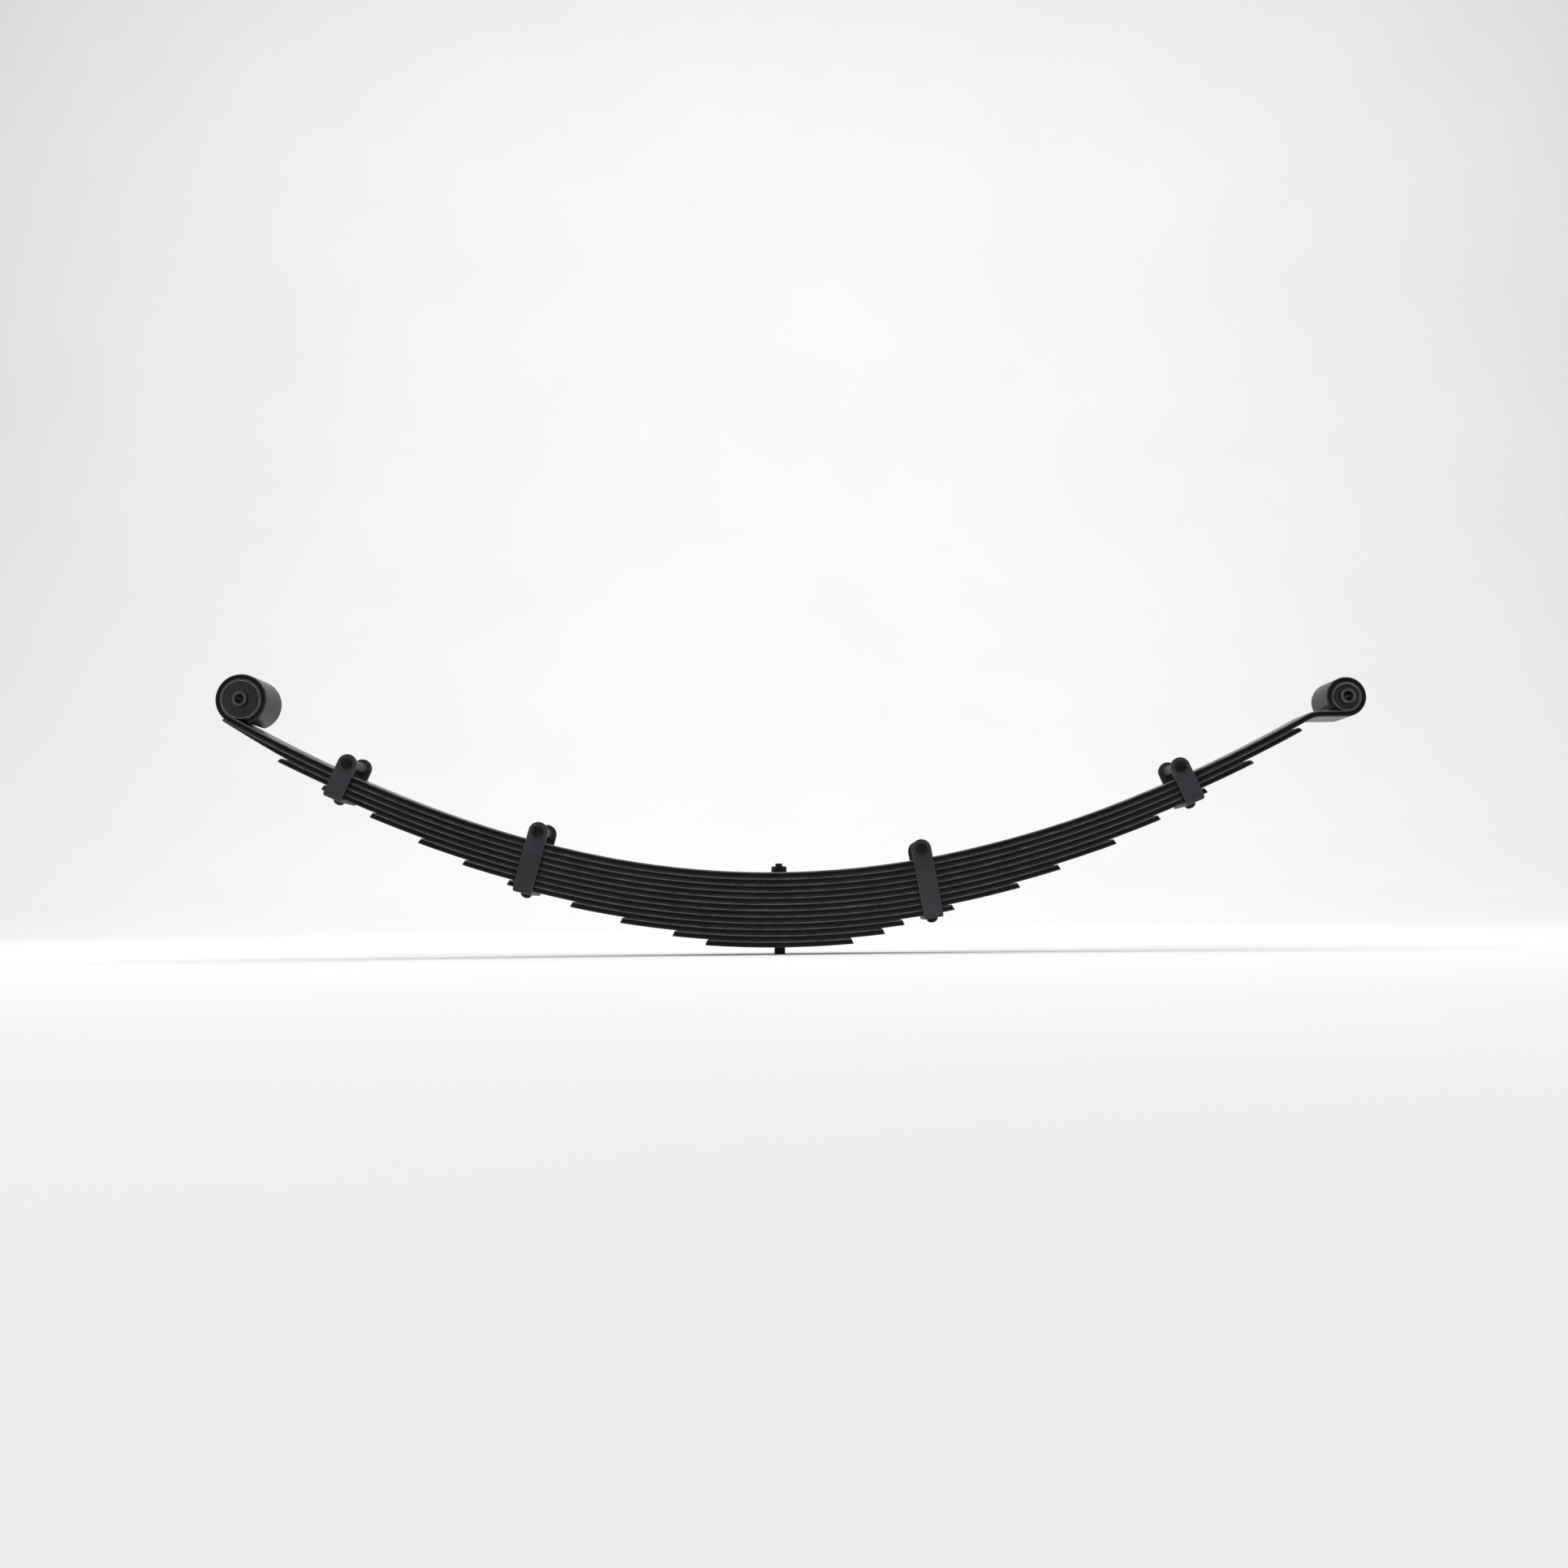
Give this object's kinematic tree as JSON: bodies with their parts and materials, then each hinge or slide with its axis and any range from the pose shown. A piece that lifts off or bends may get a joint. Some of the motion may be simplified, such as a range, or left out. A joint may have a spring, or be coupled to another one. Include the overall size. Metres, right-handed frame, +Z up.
{
  "type": "leaf spring",
  "caption": "Curved stack of flat steel leaves on a centre bolt, held by riveted clips, with a rubber-bushed eye at each end; carries and cushions an axle.",
  "frame": {"origin": "centre bolt axis at the underside of the shortest leaf, where the spring sits on its axle", "axes": "+X along the spring towards the smaller rear eye, +Y across the leaves, +Z up from the axle seat towards the eyes"},
  "size_m": [1.4789, 0.0965, 0.3682],
  "materials": {
    "leaf_paint": "semi-gloss",
    "strap_paint": "semi-gloss",
    "fastener_paint": "semi-gloss",
    "shell_steel": "satin",
    "sleeve_steel": "satin",
    "rubber": "matte"
  },
  "bodies": {
    "leaf_pack": {"main_leaf": "leaf_paint", "second_leaf": "leaf_paint", "leaf_3": "leaf_paint", "leaf_4": "leaf_paint", "leaf_5": "leaf_paint", "leaf_6": "leaf_paint", "leaf_7": "leaf_paint", "leaf_8": "leaf_paint", "leaf_9": "leaf_paint", "leaf_10": "leaf_paint", "leaf_11": "leaf_paint", "leaf_12": "leaf_paint", "centre_bolt": "fastener_paint", "centre_nut": "fastener_paint", "front_outer_strap": "strap_paint", "front_outer_bolt": "fastener_paint", "front_outer_nut": "fastener_paint", "front_outer_spacer": "strap_paint", "front_outer_rivet": "fastener_paint", "front_inner_strap": "strap_paint", "front_inner_bolt": "fastener_paint", "front_inner_nut": "fastener_paint", "front_inner_spacer": "strap_paint", "front_inner_rivet": "fastener_paint", "rear_inner_strap": "strap_paint", "rear_inner_bolt": "fastener_paint", "rear_inner_nut": "fastener_paint", "rear_inner_spacer": "strap_paint", "rear_inner_rivet": "fastener_paint", "rear_outer_strap": "strap_paint", "rear_outer_bolt": "fastener_paint", "rear_outer_nut": "fastener_paint", "rear_outer_spacer": "strap_paint", "rear_outer_rivet": "fastener_paint", "front_bush_shell": "shell_steel", "front_bush_rubber": "rubber", "rear_bush_shell": "shell_steel", "rear_bush_rubber": "rubber"},
    "front_sleeve": {"front_bush_sleeve": "sleeve_steel"},
    "rear_sleeve": {"rear_bush_sleeve": "sleeve_steel"}
  },
  "joints": [
    {"name": "front_bush_twist", "type": "hinge", "parent": "leaf_pack", "child": "front_sleeve", "pos_m": [-0.69149, 0, 0.32628], "axis": [0, 1, 0], "range_deg": [-20, 20], "stiffness_Nm_per_rad": 60},
    {"name": "rear_bush_twist", "type": "hinge", "parent": "leaf_pack", "child": "rear_sleeve", "pos_m": [0.72909, 0, 0.31208], "axis": [0, 1, 0], "range_deg": [-20, 20], "stiffness_Nm_per_rad": 40}
  ]
}
